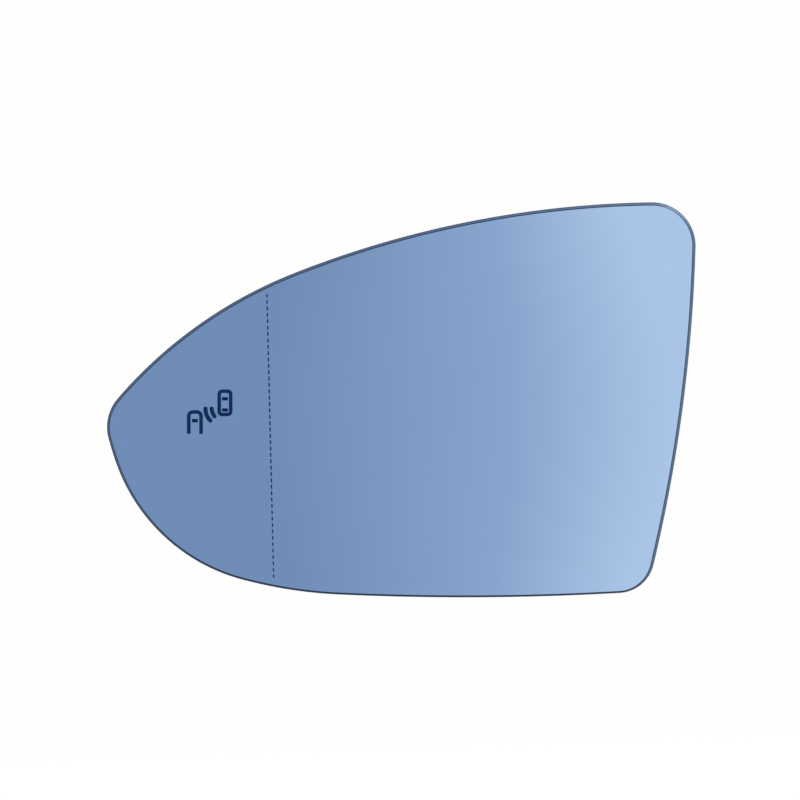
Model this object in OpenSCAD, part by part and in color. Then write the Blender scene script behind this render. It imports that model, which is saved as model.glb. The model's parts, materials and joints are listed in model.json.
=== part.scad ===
// Door mirror glass with a heater, a blind spot indicator and a clip-on backing plate.
// The plate is drawn with x to the right, y up and z towards the viewer, and stood up at the end.
// The origin is the centre of the ring of hooks that snap over the flange of the mirror's actuator.
// Depths are measured from the front face of the glass, along the radius of its curve.

/* [Glass outline, seen from the front] */
// Top right corner, to the right of the clip axis
top_x = 79.6; // [77:0.1:84]
// Top right corner, above the clip axis
top_y = 62.2; // [60:0.1:66]
// Fillet of the top right corner
top_fillet = 13; // [11:0.5:16]
// Bow radius of the top edge
top_bow = 305; // [290:5:340]
// Shoulder above the left tip, to the left of the clip axis
shoulder_x = 40.8; // [38:0.1:44]
// Shoulder, below the top right corner
shoulder_drop = 21.2; // [19:0.1:23]
// Bow radius of the edge that falls to the left tip
brow_bow = 136; // [130:2:160]
// Left tip, to the left of the clip axis
tip_x = 98; // [95:0.1:102]
// Left tip, below the clip axis
tip_y = 1.8; // [0:0.1:4]
// Fillet of the left tip
tip_fillet = 13; // [11:0.5:16]
// Bow radius of the edge below the left tip
cheek_bow = 111; // [105:1:125]
// Chin at the lower left, to the left of the heel
chin_run = 44.8; // [43:0.1:46]
// Chin, above the heel
chin_rise = 12.1; // [11:0.1:13]
// Fillet of the chin
chin_fillet = 55; // [48:1:60]
// Bow radius of the lower left edge
jaw_bow = 177; // [165:1:220]
// Heel where the bottom edge starts, to the left of the clip axis
heel_x = 35.6; // [34:0.1:38]
// Heel, below the bottom right corner
heel_drop = 0.5; // [0:0.1:1]
// Fillet of the heel
heel_fillet = 133; // [110:1:140]
// Bow radius of the bottom edge
bottom_bow = 840; // [800:10:1000]
// Bottom right corner, to the right of the clip axis
foot_x = 64.8; // [62:0.1:68]
// Bottom right corner, below the clip axis
foot_y = 54.1; // [52:0.1:56]
// Fillet of the bottom right corner
foot_fillet = 11; // [10:0.5:14]
// Bow radius of the right edge
right_bow = 472; // [450:5:520]

/* [Glass] */
// Thickness of the glass
glass_t = 2; // [1.6:0.1:2.4]
// Radius of the convex main field
main_r = 1260; // [1200:10:1400]
// Radius of the first, faster part of the outer field
outer_1_r = 700; // [600:10:900]
// Radius of the last, fastest part of the outer field
outer_2_r = 380; // [350:10:500]
// Start of the fastest part, to the left of the clip axis
outer_2_x = 76; // [75:1:82]
// Width of the ground front edge
ground_w = 0.9; // [0.6:0.1:1.2]
// Depth of the ground front edge
ground_d = 0.5; // [0.3:0.1:0.8]
// Arris ground off the rear edge
arris = 0.3; // [0.2:0.1:0.5]

/* [Marks etched in the face] */
// Depth of the etched marks
etch_d = 0.15; // [0.12:0.01:0.2]
// Distance of the dashed boundary from the clip axis, to the left
line_x = 48; // [44:0.5:54]
// Lean of the dashed boundary, top to the left, in degrees
line_lean = 1.36; // [0:0.02:3]
// Length of one dash
dash_len = 1.25; // [0.8:0.05:1.5]
// Pitch of the dashes
dash_pitch = 1.9; // [1.7:0.1:3]
// Width of a dash
dash_w = 0.42; // [0.3:0.02:0.6]
// Clear glass between the last dash and the ground edge
dash_margin = 0.3; // [0.2:0.1:2]
// Centre of the blind spot symbol, to the left of the clip axis
symbol_x = 66; // [65:0.5:69]
// Centre of the blind spot symbol, below the clip axis
symbol_y = 0.5; // [-2:0.1:2]
// Width of the near car in the symbol
near_car_w = 4.45; // [4:0.05:4.6]
// Length of the near car in the symbol
near_car_l = 8; // [7:0.1:9]
// Width of the far car
far_car_w = 4.7; // [4:0.1:4.8]
// Length that shows of the far car, which is open at its tail
far_car_l = 7.1; // [6:0.1:8]
// Distance between the middles of the cars, across
car_pitch = 9; // [8.5:0.1:10]
// Drop of the far car's nose below the near car's nose
car_drop = 6.2; // [5:0.1:7]
// Width of the symbol's lines
stroke = 1.05; // [0.8:0.05:1.2]
// Width of a radar wave
wave_w = 1.2; // [1:0.05:1.25]
// Radius of the outer radar wave
wave_r = 4.74; // [4.6:0.02:4.8]
// Distance from one radar wave to the next
wave_pitch = 1.9; // [1.8:0.02:2]

/* [Heater and bonding] */
// Gap of each bond line
bond = 0.05; // [0.03:0.01:0.1]
// Thickness of the heater's foil track
track_t = 0.1; // [0.08:0.02:0.2]
// Width of the foil left between two cuts
track_w = 6; // [5:0.1:7]
// Width of a cut between two runs of foil
track_cut = 1.4; // [1:0.1:2]
// Bare border between the track and the edge of the glass
track_inset = 3.5; // [3:0.1:5]
// Thickness of the carrier film
film_t = 0.2; // [0.1:0.05:0.3]
// Bare border between the film and the edge of the glass
film_inset = 1.6; // [1.2:0.1:2.4]
// Thickness of the foam adhesive
adhesive_t = 0.4; // [0.3:0.1:0.8]
// Bare border between the adhesive and the edge of the glass
adhesive_inset = 2; // [1.6:0.1:3]

/* [Heater terminals] */
// Left terminal, to the left of the clip axis
terminal_left_x = 49; // [45:0.5:50]
// Right terminal, to the right of the clip axis
terminal_right_x = 57; // [50:0.5:58]
// Both terminals, below the clip axis
terminal_y = 30; // [26:0.5:34]
// Width of a terminal's blade
blade_w = 6.3; // [4.8:0.1:6.3]
// Thickness of a terminal's blade
blade_t = 0.8; // [0.5:0.1:0.8]
// Free length of a blade behind the plate
blade_l = 8.5; // [7:0.5:10]
// Length of the foot that is soldered to the foil
foot_l = 5; // [4:0.1:5]
// Thickness of the foot
foot_t = 0.5; // [0.3:0.1:0.6]
// Clearance round a terminal in the film, the adhesive and the plate
terminal_gap = 0.8; // [0.3:0.1:1]
// Diameter of the hole in a blade
blade_hole = 1.8; // [1.5:0.1:2]

/* [Backing plate] */
// Thickness of the plate's skin
skin_t = 2; // [1.6:0.1:2.6]
// Border of glass that stands out past the plate
plate_inset = 0.8; // [0.6:0.1:1.5]
// Thickness of the plate's rim
rim_t = 1.6; // [1.2:0.1:2.2]
// Height of the rim and the ribs behind the skin
rib_h = 2.4; // [1.6:0.1:3]
// Thickness of a rib
rib_t = 1.2; // [0.8:0.1:1.6]
// Distance from the gussets to the round rib
round_rib_gap = 5.7; // [4:0.1:8]

/* [Clip ring] */
// Inner radius of the clip ring
ring_r = 29.5; // [28:0.5:31]
// Reach of a hook inside the ring
hook_l = 2; // [1.5:0.1:2.5]
// Length of the land at the hooks' tips
land_l = 1.5; // [1:0.1:2]
// Number of hooks
hooks = 8; // [6:1:8]
// Width of a hook, in degrees round the ring
hook_deg = 18; // [18:1:20]
// Wall of the clip ring
ring_t = 1.8; // [1.4:0.1:2.2]
// Length of the lead-in slope below the land
lead_in = 1.2; // [0.8:0.1:2]
// Step that the moulding window over a hook leaves in the ring's wall
shut_off = 0.4; // [0.3:0.05:0.6]
// Plain end of the ring below the lead-in slope
ring_lip = 0.3; // [0.2:0.1:0.6]
// Border of the sprung tongue beside its hook
tongue_edge = 0.3; // [0.2:0.05:0.5]
// Width of the slits that free each hook
slit_w = 1.8; // [1.2:0.1:2]
// Thickness of the actuator flange that the hooks hold
flange_t = 2.5; // [2:0.1:3]
// Distance from the hooks' land to the seat that the flange rests on
seat_gap = 2.5; // [2:0.5:4]
// Width of the seat
seat_w = 3; // [2:0.1:3.5]
// Height of the seat behind the skin
seat_h = 6; // [5:0.5:8]
// Reach of a gusset outside the ring
gusset_l = 6; // [4:0.5:8]

/* [Blind spot indicator] */
// Border between the gasket and the light window through the layers in front of it
window_border = 0.6; // [0.4:0.1:1.2]
// Width of the indicator housing
housing_w = 24; // [24:0.5:26]
// Height of the indicator housing
housing_h = 22; // [22:0.5:25]
// Depth of the indicator housing
housing_d = 7.6; // [7:0.1:8]
// Wall of the housing
housing_wall = 1.4; // [1.2:0.1:1.6]
// Corner radius of the housing
housing_corner = 2; // [1.8:0.1:3]
// Clearance between the diffuser, the board and the walls round them
module_gap = 0.2; // [0.1:0.05:0.3]
// Width of the step that carries the diffuser
step_w = 0.9; // [0.6:0.1:1.2]
// Thickness of the diffuser's flange
diffuser_flange = 1.2; // [0.8:0.1:1.2]
// Gap between the diffuser and the glass
diffuser_gap = 0.3; // [0.2:0.1:0.5]
// Thickness of the foam gasket
gasket_t = 0.7; // [0.5:0.1:1]
// Width of the gasket's band
gasket_w = 2; // [1.6:0.1:2.4]
// Thickness of the circuit board
board_t = 1; // [0.8:0.1:1.2]
// Height of the board's posts
post_h = 2.6; // [2.4:0.1:2.8]
// Side of a post
post_side = 2; // [1.6:0.1:2.4]
// Side of a light emitting diode
led_side = 2.8; // [2:0.1:3]
// Height of a light emitting diode
led_h = 1.1; // [0.8:0.1:1.1]
// Pitch of the diodes
led_pitch = 5; // [4:0.1:6]
// Length of a chip resistor
resistor_l = 2; // [1.6:0.1:3.2]
// Width of a chip resistor
resistor_w = 1.25; // [0.8:0.05:1.6]
// Height of a chip resistor
resistor_h = 0.5; // [0.3:0.1:0.6]
// Side of a contact pin
pin_side = 0.64; // [0.5:0.02:0.7]
// Pitch of the contact pins
pin_pitch = 2.5; // [2.5:0.1:3]
// Distance of the pins from the board's edge
pin_edge = 2; // [1.6:0.1:2.4]
// Width of the socket, outside
socket_w = 9.6; // [9:0.1:11]
// Height of the socket, outside
socket_h = 6.2; // [6:0.1:6.4]
// Length of the socket
socket_l = 8; // [7:0.1:10]
// Wall of the socket
socket_wall = 1.1; // [1:0.1:1.2]
// Length of the pins inside the socket
pin_reach = 5.6; // [4:0.1:6]
// Width of a snap arm
arm_w = 6; // [4:0.5:8]
// Thickness of a snap arm
arm_t = 1.2; // [1:0.1:1.4]
// Overhang of a snap arm's hook
arm_hook = 0.9; // [0.6:0.1:1]
// Clearance of a snap arm beside and behind the housing
arm_gap = 0.15; // [0.1:0.05:0.3]
// Border of the plate's boss outside the snap arms
boss_rim = 0.5; // [0.5:0.1:1]

/* [Hidden] */
$fn = 64;
// Segments in a full turn of the large curves
CURVE_FN = 1440;
// Length by which a cutter runs past the face it cuts
CLEAR = 1;
// A length that runs past the part on every side
FAR = 40;

// Depths of the layers behind the front face
track_d = glass_t + bond;
film_d = track_d + track_t + bond;
adhesive_d = film_d + film_t + bond;
skin_d = adhesive_d + adhesive_t + bond;
rib_d = skin_d + skin_t;

// Radii of the hooks' land, the seat and the round rib
land_r = ring_r - hook_l;
seat_r = land_r - seat_gap - seat_w;
round_rib_r = ring_r + ring_t + gusset_l + round_rib_gap;

// Heights of the main faces over the middle of the hooks' land
seat_z = land_l / 2 + flange_t;
front_z = seat_z + seat_h + rib_d;
lead_end_z = -land_l / 2 - lead_in;
ring_end_z = lead_end_z - ring_lip;

// Outline: corners from the top right, anticlockwise, each with its fillet and the bow that follows.
// A corner with no fillet is a point where the next bow carries on smoothly from the last.
heel_y = foot_y + heel_drop;
CORNERS = [[[top_x, top_y], top_fillet, top_bow],
    [[-shoulder_x, top_y - shoulder_drop], 0, brow_bow],
    [[-tip_x, -tip_y], tip_fillet, cheek_bow],
    [[-heel_x - chin_run, chin_rise - heel_y], chin_fillet, jaw_bow],
    [[-heel_x, -heel_y], heel_fillet, bottom_bow],
    [[foot_x, -foot_y], foot_fillet, right_bow]];
SIDES = len(CORNERS);
function turned(v) = [-v[1], v[0]];
function bow_centre(a, b, r) =
    (a + b) / 2 + turned(b - a) / norm(b - a) * sqrt(r * r - pow(norm(b - a) / 2, 2));
function centre_after(i) = bow_centre(CORNERS[i][0], CORNERS[(i + 1) % SIDES][0], CORNERS[i][2]);
function centre_smooth(i) =
    CORNERS[i][0] + (centre_after(i - 1) - CORNERS[i][0]) * CORNERS[i][2] / CORNERS[i - 1][2];
BOWS = [for (i = [0 : SIDES - 1])
    [CORNERS[i][1] > 0 ? centre_after(i) : centre_smooth(i), CORNERS[i][2]]];

// The crossing of two circles that lies nearer to a point
function nearer(p, q, goal) = norm(p - goal) < norm(q - goal) ? p : q;
function crossing(c1, r1, c2, r2, goal) =
    let (l = norm(c2 - c1), a = (l * l + r1 * r1 - r2 * r2) / (2 * l), u = (c2 - c1) / l,
        h = sqrt(max(0, r1 * r1 - a * a)))
    nearer(c1 + u * a + turned(u) * h, c1 + u * a - turned(u) * h, goal);
function bow_before(i) = BOWS[(i + SIDES - 1) % SIDES];
MEETS = [for (i = [0 : SIDES - 1]) let (a = bow_before(i), b = BOWS[i], p = CORNERS[i][0])
    CORNERS[i][1] > 0 ? crossing(a[0], a[1], b[0], b[1], p) : p];

// Turn of a corner as twice the tangent of its half, and the curvature of the bow on either side
function turn_at(i) =
    let (a = turned(MEETS[i] - bow_before(i)[0]), b = turned(MEETS[i] - BOWS[i][0]))
    2 * tan(atan2(cross(a, b), a * b) / 2);
function curl_before(i) = 1 / bow_before(i)[1];
function curl_after(i) = 1 / BOWS[i][1];

// Length of a bow that a corner's fillet takes up, from the curvatures of that bow and of the other
function taken(i, own, other) = let (k = 1 / CORNERS[i][1])
    CORNERS[i][1] > 0 ? turn_at(i) / (k - own + sqrt((k - own) * (k - other))) : 0;
function taken_before(i) = taken(i, curl_before(i), curl_after(i));
function taken_after(i) = taken(i, curl_after(i), curl_before(i));

// Where two fillets would fill the side between them, both shrink to leave a part of it
FULL = 0.88;
function room_after(i) = let (j = (i + 1) % SIDES)
    min(1, FULL * norm(MEETS[j] - MEETS[i]) / (taken_after(i) + taken_before(j)));
function room_before(i) = room_after((i + SIDES - 1) % SIDES);
function curl_in(i, length, own, other) = let (q = turn_at(i) / length) own + q * q / (2 * q + own - other);
function fillet(i) = CORNERS[i][1] == 0 ? 0 : 1 / max(1 / CORNERS[i][1],
    curl_in(i, taken_before(i) * room_before(i), curl_before(i), curl_after(i)),
    curl_in(i, taken_after(i) * room_after(i), curl_after(i), curl_before(i)));
FILLETS = [for (i = [0 : SIDES - 1]) let (before = bow_before(i), after = BOWS[i], r = fillet(i))
    [crossing(before[0], before[1] - r, after[0], after[1] - r, CORNERS[i][0]), r]];
function touch(bow, fillet) = bow[0] + (fillet[0] - bow[0]) / norm(fillet[0] - bow[0]) * bow[1];
function corner_arc(i, before, after) =
    [FILLETS[i][0], FILLETS[i][1], touch(before, FILLETS[i]), touch(after, FILLETS[i])];
function side_arc(i, bow, next) = [bow[0], bow[1], touch(bow, FILLETS[i]), touch(bow, next)];

// Arcs of the outline in turn: centre, radius, first point, last point
ARCS = [for (i = [0 : SIDES - 1])
    let (before = bow_before(i), after = BOWS[i], next = FILLETS[(i + 1) % SIDES],
        side = side_arc(i, after, next))
    each FILLETS[i][1] > 0 ? [corner_arc(i, before, after), side] : [side]];

// Points round the outline at an inset, no further apart than a step along it or a step of turn
EDGE_STEP = 7;
EDGE_TURN = 11;
function heading(a) = [cos(a), sin(a)];
function arc_from(arc) = atan2(arc[2][1] - arc[0][1], arc[2][0] - arc[0][0]);
function arc_to(arc) = atan2(arc[3][1] - arc[0][1], arc[3][0] - arc[0][0]);
function arc_sweep(arc) = (arc_to(arc) - arc_from(arc) + 360) % 360;
function arc_steps(arc) = max(ceil(arc_sweep(arc) / EDGE_TURN), ceil(norm(arc[3] - arc[2]) / EDGE_STEP));
function arc_point(arc, t, inset) =
    arc[0] + (arc[1] - inset) * heading(arc_from(arc) + arc_sweep(arc) * t);
function edge_points(inset) = [for (arc = ARCS, k = [0 : arc_steps(arc) - 1])
    arc_point(arc, k / arc_steps(arc), inset)];
function left_of(p, a, b) = cross(b - a, p - a) > 0;
function inside(p, edge) = len([for (i = [0 : len(edge) - 1])
    if (!left_of(p, edge[i], edge[(i + 1) % len(edge)])) i]) == 0;

// Fields of the curved face in the plane of the sweep, each with its centre and its radius.
// The first coordinate is the distance from the sweep's axis, the second runs along the axis.
// Each outer field starts on the one before it, leaning a hair further back.
FIELD_LEAN = 0.1;
function field_after(field, u, r) =
    let (a = asin((u - field[0][1]) / field[1]))
    [field[0] + field[1] * heading(a) - r * heading(a - FIELD_LEAN), r, u];
MAIN = [[0, 0], main_r, top_x];
OUTER_1 = field_after(MAIN, -(line_x + dash_w) * cos(line_lean), outer_1_r);
OUTER_2 = field_after(OUTER_1, -outer_2_x, outer_2_r);
SWEEP = 2 * asin((top_y + FAR / 2) / main_r);

// Height of the front face at a point of the plate
function field_of(u) = u > OUTER_1[2] ? MAIN : u > OUTER_2[2] ? OUTER_1 : OUTER_2;
function field_height(field, u) = field[0][0] + sqrt(pow(field[1], 2) - pow(u - field[0][1], 2));
function face_z(p) =
    let (u = p[0] * cos(line_lean) + p[1] * sin(line_lean),
        v = p[1] * cos(line_lean) - p[0] * sin(line_lean))
    front_z - main_r + sqrt(pow(field_height(field_of(u), u), 2) - v * v);

// Slope of the front face at a point, across and up, over a short way
function face_slope(p, span) = [for (way = [[span, 0], [0, span]])
    (face_z(p + way / 2) - face_z(p - way / 2)) / span];

// Region inside the outline, drawn in by an inset
module outline(inset = 0) { polygon(edge_points(inset)); }

// Profile of all that lies behind the curved face, at a depth.
// The cut for an outer field ends inside the lens where that field stands out past the one before.
module curve(depth) {
    difference() {
        circle(r = main_r - depth, $fn = CURVE_FN);
        for (field = [OUTER_1, OUTER_2]) difference() {
            translate([main_r - FAR, -tip_x - FAR]) square([2 * FAR, tip_x + FAR + field[2] + CLEAR]);
            translate(field[0]) circle(r = field[1] - depth, $fn = CURVE_FN);
        }
    }
}

// Curved sheet between two depths behind the front face
module sheet(from, to) {
    translate([0, 0, front_z - main_r]) rotate(line_lean) rotate([0, -90, 180])
        rotate([0, 0, -SWEEP / 2]) rotate_extrude(angle = SWEEP, $fn = CURVE_FN) intersection() {
            difference() {
                curve(from);
                curve(to);
            }
            translate([main_r - FAR, -tip_x - FAR / 4]) square([2 * FAR, tip_x + top_x + FAR / 2]);
        }
}

// Piece of the curved sheet that a flat pattern cuts out
module pressed(from, to) {
    intersection() {
        translate([0, 0, -FAR]) linear_extrude(3 * FAR) children();
        sheet(from, to);
    }
}

// Rectangle with round corners, centred
module rounded(w, h, r) {
    square([w - 2 * r, h], center = true);
    square([w, h - 2 * r], center = true);
    for (x = [-1, 1], y = [-1, 1]) translate([x * (w / 2 - r), y * (h / 2 - r)]) circle(r = r);
}

// Solid that tapers the front and rear edges of the glass all the way round
module edge_former() {
    // Insets and depths of the rings, each slope carried on past the face that it meets
    rings = [[2 * ground_w, -ground_d], [0, ground_d], [0, glass_t - arris], [2 * arris, glass_t + arris]];
    flat = [for (ring = rings) edge_points(ring[0])];
    n = len(flat[0]);
    points = [for (k = [0 : 3], p = flat[k]) [p[0], p[1], face_z(p) - rings[k][1]]];
    peak = [0, 0, front_z + 4 * glass_t];
    keel = [0, 0, front_z - 6 * glass_t];
    walls = [for (k = [0 : 2], i = [0 : n - 1]) let (j = (i + 1) % n)
        each [[k * n + i, k * n + j, (k + 1) * n + i], [k * n + j, (k + 1) * n + j, (k + 1) * n + i]]];
    caps = [for (i = [0 : n - 1]) let (j = (i + 1) % n)
        each [[4 * n, j, i], [4 * n + 1, 3 * n + i, 3 * n + j]]];
    polyhedron(concat(points, [peak, keel]), concat(walls, caps));
}

// Dashes of the boundary, as many as lie clear of the ground edge, each a block between two depths
module dashes(grow, from, to) {
    edge = edge_points(ground_w + dash_margin);
    along = [-sin(line_lean), cos(line_lean)];
    reach = ceil(top_y / dash_pitch);
    for (k = [-reach : reach]) {
        middle = [-line_x, 0] + along * k * dash_pitch;
        if (inside(middle + along * dash_len / 2, edge) && inside(middle - along * dash_len / 2, edge))
            translate([middle[0], middle[1], face_z(middle) - (from + to) / 2]) rotate(line_lean)
                cube([dash_w + 2 * grow, dash_len + 2 * grow, to - from], center = true);
    }
}

// Cars seen from above, each a line round its body with bars for its windows
NEAR_CORNER = 0.26 * near_car_w;
FAR_CORNER = 0.32 * far_car_w;
CAR_BAR = [0.4 * far_car_w, 0.86 * stroke];
NEAR_BARS = [0.15, -0.265];
FAR_BAR = -0.445;
module near_car(grow) {
    hollow = [near_car_w, near_car_l] - 2 * (stroke + grow) * [1, 1];
    difference() {
        rounded(near_car_w + 2 * grow, near_car_l + 2 * grow, NEAR_CORNER + grow);
        rounded(hollow[0], hollow[1], NEAR_CORNER / 3);
    }
    for (y = NEAR_BARS) translate([0, y * near_car_l])
        square(CAR_BAR + [2 * grow, 2 * grow], center = true);
}
module far_car(grow) {
    hollow = [far_car_w, far_car_l] - 2 * (stroke + grow) * [1, 1];
    difference() {
        translate([0, -far_car_l / 2])
            rounded(far_car_w + 2 * grow, far_car_l + 2 * grow, FAR_CORNER + grow);
        translate([0, -far_car_l / 2]) square(hollow, center = true);
        translate([0, -far_car_l]) square([hollow[0], far_car_l], center = true);
    }
    translate([0, FAR_BAR * far_car_l]) square(CAR_BAR + [2 * grow, 2 * grow], center = true);
}

// Radar wave: an arc with round ends, on the lower left of its centre
module wave(r, from, to, grow) {
    intersection() {
        difference() {
            circle(r = r + wave_w / 2 + grow);
            circle(r = r - wave_w / 2 - grow);
        }
        polygon([[0, 0], 2 * r * heading(from), 2 * r * heading((from + to) / 2), 2 * r * heading(to)]);
    }
    for (a = [from, to]) translate(r * heading(a)) circle(r = wave_w / 2 + grow);
}

// The symbol as a block between two depths, square to the face at its middle
module symbol_block(grow, from, to) {
    spot = [-symbol_x, -symbol_y];
    slope = face_slope(spot, near_car_w);
    translate([spot[0], spot[1], face_z(spot)]) rotate([atan(slope[1]), -atan(slope[0]), 0])
        translate([0, 0, -to]) linear_extrude(to - from) symbol(grow);
}

// Radar waves: centre of the outer one, directions of the ends of each, way from the outer one to
// the inner one, and how much smaller the inner one is
WAVE_AT = [3.42, 0.73];
WAVE_ENDS = [[178, 226], [184, 218]];
WAVE_HEADING = 20;
WAVE_SHRINK = 0.114;

// Blind spot symbol, centred on its own middle
module symbol(grow = 0) {
    translate([car_pitch / 2, (car_drop + far_car_l - near_car_l) / 2]) near_car(grow);
    translate([-car_pitch / 2, (far_car_l - car_drop) / 2]) far_car(grow);
    for (k = [0, 1]) translate(WAVE_AT + k * (wave_pitch - WAVE_SHRINK * wave_r) * heading(WAVE_HEADING))
        wave(wave_r * (1 - k * WAVE_SHRINK), WAVE_ENDS[k][0], WAVE_ENDS[k][1], grow);
}

// Silvered glass with ground edges and its marks etched in the face
module mirror_glass() {
    color([0.50, 0.62, 0.79]) difference() {
        intersection() {
            sheet(0, glass_t);
            edge_former();
        }
        dashes(0, -CLEAR, etch_d);
        symbol_block(0, -CLEAR, etch_d);
    }
}

// Height of an edge point on a vertical line, the topmost for a side of 1 and the lowest for -1
function line_crossings(x, edge) = [for (i = [0 : len(edge) - 1])
    let (a = edge[i], b = edge[(i + 1) % len(edge)])
    if ((a[0] - x) * (b[0] - x) <= 0 && a[0] != b[0]) a[1] + (b[1] - a[1]) * (x - a[0]) / (b[0] - a[0])];
function edge_y(x, side, edge) = side * max([for (y = line_crossings(x, edge)) side * y]);

// Solid of constant section between two heights
module upright(from, to) {
    translate([0, 0, from]) linear_extrude(to - from) children();
}

// Places on the plate
module at_symbol() { translate([-symbol_x, -symbol_y]) children(); }
terminal_spots = [[-terminal_left_x, -terminal_y], [terminal_right_x, -terminal_y]];
window_w = housing_w - 2 * (gasket_w + window_border);
window_h = housing_h - 2 * (gasket_w + window_border);
module light_window(grow = 0) {
    at_symbol() square([window_w + 2 * grow, window_h + 2 * grow], center = true);
}
module terminal_windows(grow = 0) {
    for (spot = terminal_spots) translate(spot)
        square([blade_w + 2 * (terminal_gap + grow), foot_l + 2 * (terminal_gap + grow)], center = true);
}

// Filling of the etched marks, smaller than its recess by a hair
etch_gap = 0.02;
module boundary_line() { color([0.11, 0.20, 0.36]) dashes(-etch_gap, etch_gap, etch_d - etch_gap); }
module blind_spot_symbol() {
    color([0.10, 0.19, 0.38]) symbol_block(-etch_gap, 2 * etch_gap, etch_d - etch_gap);
}

// Foil track in one zigzag: upright runs joined in turn at the top and at the bottom
module heater_track() {
    edge = edge_points(track_inset);
    pad = blade_w + track_cut;
    first = -terminal_left_x + pad / 2;
    last = terminal_right_x - pad / 2 - track_cut;
    turns = 2 * floor((last - first) / (track_w + track_cut) / 2);
    color([0.75, 0.76, 0.78]) pressed(track_d, track_d + track_t) difference() {
        outline(track_inset);
        translate([-3 * FAR, -2 * FAR]) square([3 * FAR - terminal_left_x - pad / 2, 4 * FAR]);
        for (k = [0 : turns]) {
            x = first + (last - first) * k / turns;
            side = k % 2 == 0 ? 1 : -1;
            stop = edge_y(x + track_cut / 2, side, edge) - side * track_w;
            translate([x, min(stop, -side * 2 * FAR)]) square([track_cut, abs(stop + side * 2 * FAR)]);
        }
    }
}

module heater_film() {
    color([0.30, 0.31, 0.34]) pressed(film_d, film_d + film_t) difference() {
        outline(film_inset);
        light_window();
        terminal_windows();
    }
}

module adhesive_sheet() {
    color([0.16, 0.16, 0.17]) pressed(adhesive_d, adhesive_d + adhesive_t) difference() {
        outline(adhesive_inset);
        light_window();
        terminal_windows();
    }
}

// Spade terminal: a curved foot on the foil and a blade that stands out behind the plate
module terminal(spot) {
    foot_z = face_z(spot) - film_d - foot_t / 2;
    tip_z = face_z(spot) - rib_d - blade_l;
    nip = blade_w / 6;
    color([0.80, 0.79, 0.74]) {
        pressed(film_d, film_d + foot_t) translate(spot) square([blade_w, foot_l], center = true);
        translate([spot[0], spot[1] + foot_l / 2, 0]) rotate([90, 0, 0])
                linear_extrude(blade_t) difference() {
            polygon([[-blade_w / 2, foot_z], [-blade_w / 2, tip_z + nip], [-blade_w / 2 + nip, tip_z],
                [blade_w / 2 - nip, tip_z], [blade_w / 2, tip_z + nip], [blade_w / 2, foot_z]]);
            translate([0, tip_z + 2 * blade_hole]) circle(d = blade_hole);
        }
    }
}
module terminal_left() { terminal(terminal_spots[0]); }
module terminal_right() { terminal(terminal_spots[1]); }

// Indicator module: faces in turn from the boss on the plate to the back of the housing
boss_w = housing_w + 2 * (arm_gap + arm_t + boss_rim);
boss_h = housing_h + 4 * boss_rim;
boss_low = min([for (y = [-1, 1]) face_z([-symbol_x - boss_w / 2, -symbol_y + y * boss_h / 2])]);
boss_z = boss_low - rib_d - rib_t / 2;
gasket_z = boss_z - bond;
housing_z = gasket_z - gasket_t - bond;
housing_back_z = housing_z - housing_d;
diffuser_z = housing_z - bond;
diffuser_front_z = min([for (x = [-1, 1], y = [-1, 1])
    face_z([-symbol_x + x * window_w / 2, -symbol_y + y * window_h / 2])]) - glass_t - diffuser_gap;
step_z = diffuser_z - diffuser_flange - bond;
floor_z = housing_back_z + housing_wall;
board_z = floor_z + post_h + bond;
led_z = board_z + board_t;
mouth_w = housing_w - 2 * housing_wall;
mouth_h = housing_h - 2 * housing_wall;
well_w = mouth_w - 2 * step_w;
well_h = mouth_h - 2 * step_w;
board_w = well_w - 2 * module_gap;
board_h = well_h - 2 * module_gap;
pin_y = pin_edge - board_h / 2;
pin_z = floor_z + post_h / 2;

module indicator_diffuser() {
    color([0.93, 0.90, 0.82]) translate([-symbol_x, -symbol_y]) {
        upright(diffuser_z - diffuser_flange, diffuser_z)
            square([mouth_w - 2 * module_gap, mouth_h - 2 * module_gap], center = true);
        upright(diffuser_z - diffuser_flange / 2, diffuser_front_z)
            square([window_w - 2 * module_gap, window_h - 2 * module_gap], center = true);
    }
}

module indicator_gasket() {
    color([0.20, 0.20, 0.21]) upright(gasket_z - gasket_t, gasket_z) at_symbol() difference() {
        rounded(housing_w, housing_h, housing_corner);
        square([housing_w - 2 * gasket_w, housing_h - 2 * gasket_w], center = true);
    }
}

module pin_bar(grow) {
    side = pin_side + 2 * grow;
    for (x = [-1, 1]) translate([x * pin_pitch / 2 - side / 2, -housing_h / 2 - pin_reach, pin_z - side / 2])
        cube([side, housing_h / 2 + pin_reach + pin_y + side / 2, side]);
}

module indicator_housing() {
    color([0.10, 0.10, 0.11]) translate([-symbol_x, -symbol_y]) difference() {
        union() {
            upright(housing_back_z, housing_z) rounded(housing_w, housing_h, housing_corner);
            translate([-socket_w / 2, -housing_h / 2 - socket_l, pin_z - socket_h / 2])
                cube([socket_w, socket_l + housing_wall / 2, socket_h]);
        }
        upright(step_z, housing_z + CLEAR) square([mouth_w, mouth_h], center = true);
        difference() {
            upright(floor_z, step_z + CLEAR) square([well_w, well_h], center = true);
            for (x = [-1, 1], y = [-1, 1])
                translate([x * (well_w - post_side) / 2, y * (well_h - post_side) / 2, floor_z])
                    upright(-CLEAR, post_h) square(post_side, center = true);
        }
        translate([0, -housing_h / 2 - (socket_l + CLEAR) / 2, pin_z])
            cube([socket_w - 2 * socket_wall, socket_l + CLEAR, socket_h - 2 * socket_wall], center = true);
        pin_bar(bond);
    }
}

module indicator_board() {
    color([0.12, 0.36, 0.22]) upright(board_z, led_z) at_symbol() difference() {
        square([board_w, board_h], center = true);
        for (x = [-1, 1]) translate([x * pin_pitch / 2, pin_y])
            square(pin_side + 2 * bond, center = true);
    }
}

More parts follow.
